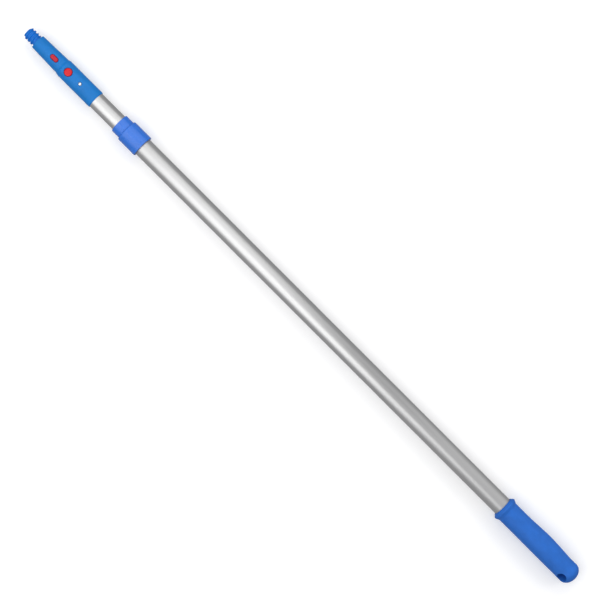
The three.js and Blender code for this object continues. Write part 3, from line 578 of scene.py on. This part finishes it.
def lever_spring():
    """A wire swept along a helix: the wire's circle is carried on the outward and upward directions of
    each point (r cos a, r sin a, rise) of the coil, whose pitch closes at both ends."""
    low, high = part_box("lever_spring")
    wire = 0.4 * MM
    turns, steps, sides = 5.0, 320, 14
    coil = (high.y - low.y) / 2 - wire
    share = np.linspace(0, 1, steps)[:, None]
    angle = 2 * math.pi * turns * share
    rise = share - 0.09 * np.sin(2 * math.pi * share)
    height = low.z + wire + rise * (high.z - low.z - 2 * wire)
    around = (np.arange(sides) * 2 * math.pi / sides)[None, :]
    reach = coil + wire * np.cos(around)
    along, across = reach * np.cos(angle), reach * np.sin(angle)
    points = np.stack([BUTTON_X + along, across, height + wire * np.sin(around)], axis=-1)
    ends = points[[0, -1]].mean(axis=1, keepdims=True) + np.zeros((2, sides, 1))
    points = np.concatenate([ends[:1], points, ends[1:]])
    rows = points.transpose(1, 0, 2)
    faces = quads(sides, steps + 2, False)
    made = piece_from("button_spring", rows.reshape(-1, 3), faces, sharp_degrees=60)
    dress(made, SPRING_STEEL, "inner_section", "spring_steel", "lever_spring")
    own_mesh(made)


# ---------------------------------------------------------------- tubes

RIVET_X = sum(span("ferrule_rivet_left")) / 2


def rivet_bore():
    """A bar that cuts the bores of both rivets."""
    return crosswise("rivet_bore", RIVET_X, 0, 1.5 * MM, 4 * OUTER_RADIUS)


def inner_tube():
    """A drawn tube with broken edges, notched for the button and drilled for the cone's pin."""
    start, end = span("inner_tube")
    made = turned("slide_tube", [
        (start, TUBE_BORE, 0), (start, TUBE_RADIUS, 0.25 * MM), (end, TUBE_RADIUS, 0.25 * MM),
        (end, TUBE_BORE, 0.2 * MM), (start, TUBE_BORE, 0)], steps=3)
    notch = BUTTON_RADIUS + WINDOW_GAP
    above = 2 * TUBE_RADIUS
    tools = [
        box("notch", (start - 1 * MM, -notch, 0), (BUTTON_X, notch, above), 0),
        upright("notch_end", BUTTON_X, rod(notch, 0, above)),
        upright("pin_hole", PIN_X, rod(PIN_RADIUS + FIT_GAP, -above, above)),
    ]
    shaped(made, "DIFFERENCE", tools)
    return dress(made, TUBE_METAL, "inner_section", "tube", "inner_tube")


def outer_tube():
    """A drawn tube with broken edges, drilled for the ferrule's rivets."""
    start, end = span("outer_tube")
    made = turned("main_tube", [
        (start, OUTER_BORE, 0), (start, OUTER_RADIUS, 0.25 * MM), (end, OUTER_RADIUS, 0.25 * MM),
        (end, OUTER_BORE, 0.2 * MM), (start, OUTER_BORE, 0)], steps=3)
    shaped(made, "DIFFERENCE", [rivet_bore()])
    return dress(made, TUBE_METAL, "outer_section", "tube", "outer_tube")


# ---------------------------------------------------------------- guides and the butt end

GUIDE_RADIUS = OUTER_BORE - 0.15 * MM
GUIDE_RING_BORE = GUIDE_RADIUS - 0.9 * MM


def inner_end_plug():
    """One outline for the plug's shank in the inner tube, its body in the outer one and its groove."""
    start, end = span("inner_end_plug")
    bore = 7 * MM
    shank = TUBE_BORE - FIT_GAP
    shank_end = end - 70 * MM
    ring_start, ring_end = span("guide_ring")
    groove = GUIDE_RING_BORE - FIT_GAP
    groove_start, groove_end = ring_start - FIT_GAP, ring_end + FIT_GAP
    made = turned("slide_plug", [
        (start, bore, 0), (start, shank, 1 * MM), (shank_end, shank, 0),
        (shank_end, GUIDE_RADIUS, 0.5 * MM), (groove_start, GUIDE_RADIUS, 0.2 * MM),
        (groove_start, groove, 0.1 * MM), (groove_end, groove, 0.1 * MM),
        (groove_end, GUIDE_RADIUS, 0.2 * MM), (end, GUIDE_RADIUS, 0.8 * MM), (end, bore, 0.5 * MM),
        (start, bore, 0)], around=96, steps=4)
    return dress(made, BLACK_NYLON, "inner_section", "black_nylon", "inner_end_plug")


def guide_ring():
    """A thin band with eased edges, parted at the top."""
    start, end = span("guide_ring")
    made = turned("slide_ring", [
        (start, GUIDE_RING_BORE, 0), (start, GUIDE_RADIUS, 0.3 * MM), (end, GUIDE_RADIUS, 0.3 * MM),
        (end, GUIDE_RING_BORE, 0.1 * MM), (start, GUIDE_RING_BORE, 0)], steps=4)
    half_split = 0.75 * MM
    split = box("split", (start - 1 * MM, -half_split, 0), (end + 1 * MM, half_split, 2 * GUIDE_RADIUS), 0)
    shaped(made, "DIFFERENCE", [split])
    return dress(made, GREY_NYLON, "guide", "grey_nylon", "guide_ring")


def butt_bumper():
    """A rubber disc with well rounded edges."""
    start, end = span("butt_bumper")
    reach = OUTER_BORE - 2 * FIT_GAP
    made = turned("rubber_pad", [
        (start, 0, 0), (start, reach, 1.2 * MM), (end, reach, 1.2 * MM), (end, 0, 0)], closed=False)
    return dress(made, RUBBER, "outer_section", "bumper_rubber", "butt_bumper")


def outer_end_plug():
    """A thin-walled cup in the outer tube, with a flange over the tube's end."""
    start, end = span("outer_end_plug")
    body = OUTER_BORE - FIT_GAP
    flange = span("outer_tube")[1] + FIT_GAP
    wall = 2 * MM
    made = turned("butt_cup", [
        (start, 0, 0), (start, body, 0.8 * MM), (flange, body, 0), (flange, OUTER_RADIUS, 0.2 * MM),
        (end, OUTER_RADIUS, 0.5 * MM), (end, body - wall, 0.4 * MM), (start + wall, body - wall, 0.6 * MM),
        (start + wall, 0, 0)], closed=False)
    return dress(made, BLACK_NYLON, "outer_section", "black_nylon", "outer_end_plug")


# ---------------------------------------------------------------- the twist lock

LOCK_PITCH = 2.4 * MM
NUT_START, NUT_END = span("lock_nut")
COLLET_START, COLLET_END = span("lock_collet")
COLLET_BORE = TUBE_RADIUS + 0.12 * MM
HEAD_RADIUS = COLLET_BORE + 2.03 * MM
LOCK_ROOT = HEAD_RADIUS - 0.15 * MM
LOCK_CREST = LOCK_ROOT + 0.7 * MM
NUT_RADIUS = radius("lock_nut")
NUT_BORE = NUT_RADIUS - 1.3 * MM
FERRULE_RADIUS = NUT_BORE - FIT_GAP
SEAT_MOUTH = FERRULE_RADIUS - 0.65 * MM
SEAT_THROAT = OUTER_RADIUS - 0.45 * MM
SEAT_START = span("clamp_ferrule")[0]
LOCK_THREAD_START = NUT_START + 1 * MM
LOCK_THREAD_END = NUT_START + 7.4 * MM
LOCK_THREAD_SHOULDER = LOCK_THREAD_END + 0.5 * MM
SNAP_X = NUT_END - 10.5 * MM
SNAP_HEIGHT = 0.45 * MM


def thread_rows(start, end):
    """Evenly spaced stations along a lock thread, from start to end."""
    return np.linspace(start, end, 45)[None, :]


def lock_ridge(station, angle):
    """The lock thread's height: the ridge of (station - nut's start) / pitch - angle / 2 pi."""
    return ridge((station - NUT_START) / LOCK_PITCH - angle / (2 * math.pi), 0.13, 0.13)


def lock_nut():
    """The nut's eased outside, its plain bore with the snap groove, and its helical inner thread, whose
    radius is the collet thread's plus the clearance between them."""
    head_bore = HEAD_RADIUS + FIT_GAP
    groove = NUT_BORE + SNAP_HEIGHT
    groove_start, groove_end = SNAP_X - 1.3 * MM, SNAP_X + 1.3 * MM
    rows = thread_rows(LOCK_THREAD_END, LOCK_THREAD_START)
    outside = eased([
        (NUT_START, head_bore, 0), (NUT_START, NUT_RADIUS - 1.1 * MM, 0.35 * MM),
        (NUT_START + 1.1 * MM, NUT_RADIUS, 0.5 * MM), (NUT_END, NUT_RADIUS, 0.5 * MM),
        (NUT_END, NUT_BORE, 0.3 * MM), (groove_end, NUT_BORE, 0), (groove_end, groove, 0),
        (groove_start, groove, 0), (groove_start, NUT_BORE, 0), (LOCK_THREAD_SHOULDER, NUT_BORE, 0)])
    front = np.array([[LOCK_THREAD_START - 0.5 * MM, head_bore]])

    def section(angle):
        thread = LOCK_ROOT + (LOCK_CREST - LOCK_ROOT) * lock_ridge(rows, angle) + 1.4 * FIT_GAP
        return lined_up(angle, outside, (rows, thread), front)

    made = wound("twist_nut", section)
    return dress(made, LOCK_BLUE, "lock_nut", "lock_plastic", "lock_nut")


def lock_collet():
    """The collet's head, its helical thread and its tapered fingers in one section, then the slots that
    part the fingers."""
    seat_mouth = SEAT_MOUTH - FIT_GAP
    throat = SEAT_THROAT - FIT_GAP
    rows = thread_rows(LOCK_THREAD_START + 1.5 * MM, LOCK_THREAD_END)
    head = eased([
        (COLLET_START, COLLET_BORE, 0), (COLLET_START, HEAD_RADIUS, 0.7 * MM),
        (LOCK_THREAD_START + 1 * MM, HEAD_RADIUS, 0)])
    tail = eased([
        (LOCK_THREAD_SHOULDER, seat_mouth, 0), (SEAT_START, seat_mouth, 0.3 * MM),
        (COLLET_END, throat, 0.3 * MM), (COLLET_END, COLLET_BORE, 0)])

    def section(angle):
        thread = LOCK_ROOT + (LOCK_CREST - LOCK_ROOT) * lock_ridge(rows, angle)
        return lined_up(angle, head, (rows, thread), tail)

    made = wound("collet_sleeve", section)
    slots = []
    half_slot, past = 0.6 * MM, 20 * MM
    for turn in (15, 75, 135):
        slot = box(f"slot_{turn}", (NUT_START + 4 * MM, -half_slot, -past),
                   (COLLET_END + 1 * MM, half_slot, past), 0)
        slots.append(turned_about_axis(slot, turn))
    shaped(made, "DIFFERENCE", slots)
    return dress(made, LOCK_BLUE, "lock_collet", "lock_plastic", "lock_collet")


def clamp_ferrule():
    """The ferrule's tapered seat, its sleeve over the outer tube and the bead that the nut snaps over."""
    start, end = span("clamp_ferrule")
    bore = OUTER_RADIUS + FIT_GAP
    bead = FERRULE_RADIUS + SNAP_HEIGHT
    seat_end = start + 7.5 * MM
    made = turned("seat_ferrule", [
        (seat_end, SEAT_THROAT, 0), (start, SEAT_MOUTH, 0.1 * MM), (start, FERRULE_RADIUS, 0.2 * MM),
        (SNAP_X - 1 * MM, FERRULE_RADIUS, 0), (SNAP_X, bead, 0.3 * MM), (SNAP_X + 1 * MM, bead, 0.2 * MM),
        (SNAP_X + 1 * MM, FERRULE_RADIUS, 0), (end, FERRULE_RADIUS, 0.3 * MM), (end, bore, 0.2 * MM),
        (seat_end, bore, 0), (seat_end, SEAT_THROAT, 0)], steps=4)
    shaped(made, "DIFFERENCE", [rivet_bore()])
    return dress(made, GREY_NYLON, "outer_section", "grey_nylon", "clamp_ferrule")


def ferrule_rivet(side):
    """A rivet through the ferrule and the outer tube: a rod with crowned ends, turned over to one side."""
    low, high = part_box(f"ferrule_rivet_{side}")
    inside, outside = sorted((abs(low.y), abs(high.y)))
    made = upright(f"rivet_{side}", RIVET_X, rod((high.z - low.z) / 2, inside, outside, 0.4 * MM))
    turned_about_axis(made, -90 if low.y > 0 else 90)
    return dress(made, PIN_STEEL, "outer_section", "pin_steel", f"ferrule_rivet_{side}")


# ---------------------------------------------------------------- the grip

FLANGE_RADIUS = half_width("grip")
GRIP_RADIUS = FLANGE_RADIUS / FLAT - 2.7 * MM
GRIP_BORE = OUTER_RADIUS + FIT_GAP
END_LENGTH = 12.6 * MM
HOLE_TURN = 50  # degrees from straight up, towards -Y
HOLE_X = GRIP_END - 16 * MM
HOLE_RADIUS = 7.3 * MM


def bump(station, middle, reach):
    """A smooth bump: half of 1 + cos(pi * distance / reach) within the reach, and 0 past it."""
    share = np.clip(np.abs(station - middle) / reach, 0, 1)
    return 0.5 + 0.5 * np.cos(math.pi * share)


def grip():
    """The grip's skin: a round sleeve plus a palm swell and less a waist, both strongest on the side
    square to the hang hole, closed by an elliptic end sqrt(1 - u^2), with a rounded flange in front."""
    swell_angle = math.radians(HOLE_TURN)
    bore_end = span("outer_end_plug")[1] + FIT_GAP
    peak = GRIP_START + 4.6 * MM
    flange = eased([
        (bore_end, 0, 0), (bore_end, GRIP_BORE, 0), (GRIP_START + 0.2 * MM, GRIP_BORE, 0.2 * MM),
        (GRIP_START, GRIP_BORE + 0.7 * MM, 0.3 * MM), (peak - 0.7 * MM, FLANGE_RADIUS, 1.3 * MM),
        (peak + 1.0 * MM, FLANGE_RADIUS, 1.6 * MM),
        (peak + 5.2 * MM, GRIP_RADIUS, 2.6 * MM), (peak + 8.5 * MM, GRIP_RADIUS, 0)], 9)
    body = np.linspace(peak + 9 * MM, GRIP_END - END_LENGTH, 90)
    end = GRIP_END - END_LENGTH + END_LENGTH * np.sin(np.linspace(0.02, 1, 28) * math.pi / 2)
    station = np.concatenate([body, end])[None, :]
    into_end = np.clip((station - (GRIP_END - END_LENGTH)) / END_LENGTH, 0, 1)
    closing = np.sqrt(np.clip(1 - into_end**2, 0, 1))

    def section(angle):
        facing = 0.5 + 0.5 * np.cos(angle - swell_angle)
        swell = 2.3 * MM * bump(station, GRIP_END - 66 * MM, 46 * MM) * facing**2
        waist = 0.35 * MM * bump(station, GRIP_END - 23 * MM, 18 * MM) * facing
        return lined_up(angle, flange, (station, (GRIP_RADIUS + swell - waist) * closing))

    made = wound("grip_sleeve", section, around=180, closed=False)
    hole = upright("hole", HOLE_X, rod(HOLE_RADIUS, -2 * GRIP_RADIUS, 2 * GRIP_RADIUS))
    shaped(made, "DIFFERENCE", [turned_about_axis(hole, HOLE_TURN)])
    return dress(made, GRIP_BLUE, "outer_section", "grip_plastic", "grip")


# ---------------------------------------------------------------- camera, floor and light

VIEW_WIDTH = 0.8416  # at the pole's axis
VIEW_MIDDLE = (-0.0064, 0.004)
LENS, SENSOR = 110.0, 36.0


def camera():
    """Looks straight down on the pole with the picture turned an eighth of a turn, so that the pole runs
    from the upper left to the lower right."""
    data = bpy.data.cameras.new("camera")
    data.lens = LENS
    data.sensor_width = SENSOR
    data.clip_end = 50
    made = bpy.data.objects.new("camera", data)
    made.location = (*VIEW_MIDDLE, AXIS_Z + VIEW_WIDTH * LENS / SENSOR)
    made.rotation_euler = (0, 0, math.radians(45))
    bpy.context.scene.collection.objects.link(made)
    bpy.context.scene.camera = made


def floor():
    """A wide pale floor at the pole's lowest point. It doesn't show in the metal or light the pieces, so
    the tubes keep dark edges."""
    half = 12.0
    corners = [(-half, -half, 0), (half, -half, 0), (half, half, 0), (-half, half, 0)]
    made = piece_from("floor", corners, [(0, 1, 2, 3)])
    finish = Finish("floor_paper", 0.9)
    finish.finish((0.9, 0.9, 0.9))
    finish.shader.inputs["Emission Color"].default_value = (1, 1, 1, 1)
    finish.shader.inputs["Emission Strength"].default_value = 0.2
    made.data.materials.append(finish.material)
    made.visible_glossy = False
    made.visible_diffuse = False


def soft_box(name, place, size, power, shows_in_gloss=True):
    """An area light at a place, tilted across the pole to face it."""
    data = bpy.data.lights.new(name, "AREA")
    data.shape = "RECTANGLE"
    data.size, data.size_y = size
    data.energy = power
    made = bpy.data.objects.new(name, data)
    made.location = place
    made.rotation_euler = (-math.atan2(place[1], place[2]), 0, 0)
    made.visible_camera = False
    made.visible_glossy = shows_in_gloss
    bpy.context.scene.collection.objects.link(made)


def studio():
    """A wide key with a weaker tail towards the butt, a top light and a fill over the front half, a low
    light outside key and fill, two glows by the butt, two side lights that don't show in the gloss, and
    an even grey room."""
    world = bpy.data.worlds.new("room")
    world.use_nodes = True
    world.node_tree.nodes["Background"].inputs["Color"].default_value = (0.38, 0.38, 0.39, 1)
    bpy.context.scene.world = world
    soft_box("key", (-0.45, -0.8, 1.2), (1.6, 1.25), 9.0)
    soft_box("key_tail", (0.8, -0.72, 1.2), (0.9, 1.0), 2.2)
    soft_box("top", (-0.7, -0.02, 1.4), (1.3, 0.7), 3.2)
    soft_box("fill", (-0.65, 0.66, 1.2), (1.1, 0.7), 2.9)
    soft_box("low_key", (-0.35, -1.25, 0.56), (1.8, 0.45), 1.35)
    soft_box("low_fill", (-0.62, 1.15, 0.72), (1.3, 0.6), 1.9)
    soft_box("glow", (0.65, 0.5, 0.14), (0.9, 0.36), 0.3)
    soft_box("butt_glow", (0.9, 0.5, 0.85), (1.0, 1.2), 1.4)
    soft_box("side", (-0.3, 1.3, 1.0), (1.5, 1.0), 6.0, shows_in_gloss=False)
    soft_box("butt_side", (0.9, 0.8, 0.7), (0.4, 0.4), 1.6, shows_in_gloss=False)


camera()
floor()
studio()
bpy.context.scene.view_settings.view_transform = "Standard"

threaded_tip()
cone_shell()
catch_lever()
release_button()
cone_pin()
lever_pivot()
lever_spring()
inner_tube()
inner_end_plug()
guide_ring()
outer_tube()
butt_bumper()
outer_end_plug()
lock_nut()
lock_collet()
clamp_ferrule()
ferrule_rivet("left")
ferrule_rivet("right")
grip()

# The core can't be seen from outside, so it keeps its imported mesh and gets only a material.
hidden_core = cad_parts["cone_core"].data
hidden_core.materials.clear()
hidden_core.materials.append(BLACK_NYLON)
